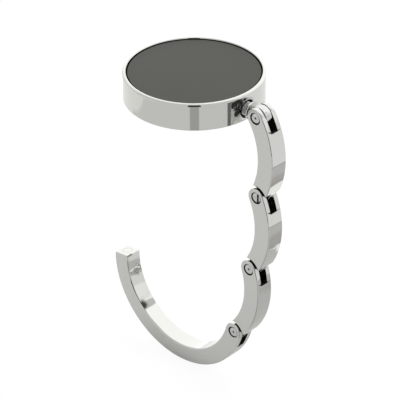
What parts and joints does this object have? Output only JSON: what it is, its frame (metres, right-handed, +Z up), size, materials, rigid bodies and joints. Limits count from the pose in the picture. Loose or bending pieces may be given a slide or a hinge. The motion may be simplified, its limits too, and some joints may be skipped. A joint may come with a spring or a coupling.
{
  "type": "purse hook",
  "caption": "Folding table hook for a handbag: a round disc rests on the table edge and a jointed curved chain hangs below it as a hook.",
  "frame": {"origin": "middle of the pad's underside, where the disc rests on the table", "axes": "+Z up through the disc's face, +X along the swivel stud, +Y along the hinge pins, away from their heads"},
  "size_m": [0.0542, 0.0344, 0.085],
  "materials": {
    "chrome": "polished chrome plate on a zinc casting",
    "plated_steel": "turned steel, bright plated",
    "dark_inlay": "dark grey satin",
    "pad_rubber": "soft anti-slip pad",
    "tape": "double-sided foam tape",
    "nickel": "nickel plated magnet"
  },
  "bodies": {
    "disc": {"disc_body": "chrome", "face_plate": "dark_inlay", "face_adhesive": "tape", "base_pad": "pad_rubber"},
    "swivel": {"swivel_stud": "plated_steel", "stud_washer": "plated_steel"},
    "link_1": {"link_1": "chrome", "hinge_pin_1": "plated_steel"},
    "link_2": {"link_2": "chrome", "hinge_pin_2": "plated_steel"},
    "link_3": {"link_3": "chrome", "hinge_pin_3": "plated_steel"},
    "hook": {"hook_arm": "chrome", "tip_magnet": "nickel", "hinge_pin_4": "plated_steel"}
  },
  "joints": [
    {"name": "stud_swivel", "type": "hinge", "parent": "disc", "child": "swivel", "pos_m": [0, 0, 0.0033], "axis": [1, 0, 0], "continuous": true},
    {"name": "hinge_1", "type": "hinge", "parent": "swivel", "child": "link_1", "pos_m": [0.02183, 0, 0.0033], "axis": [0, 1, 0], "range_deg": [0, 36]},
    {"name": "hinge_2", "type": "hinge", "parent": "link_1", "child": "link_2", "pos_m": [0.02236, 0, -0.01823], "axis": [0, 1, 0], "range_deg": [0, 51.5]},
    {"name": "hinge_3", "type": "hinge", "parent": "link_2", "child": "link_3", "pos_m": [0.02009, 0, -0.03964], "axis": [0, 1, 0], "range_deg": [0, 56.5]},
    {"name": "hinge_4", "type": "hinge", "parent": "link_3", "child": "hook", "pos_m": [0.01506, 0, -0.06058], "axis": [0, 1, 0], "range_deg": [0, 28.5]}
  ]
}
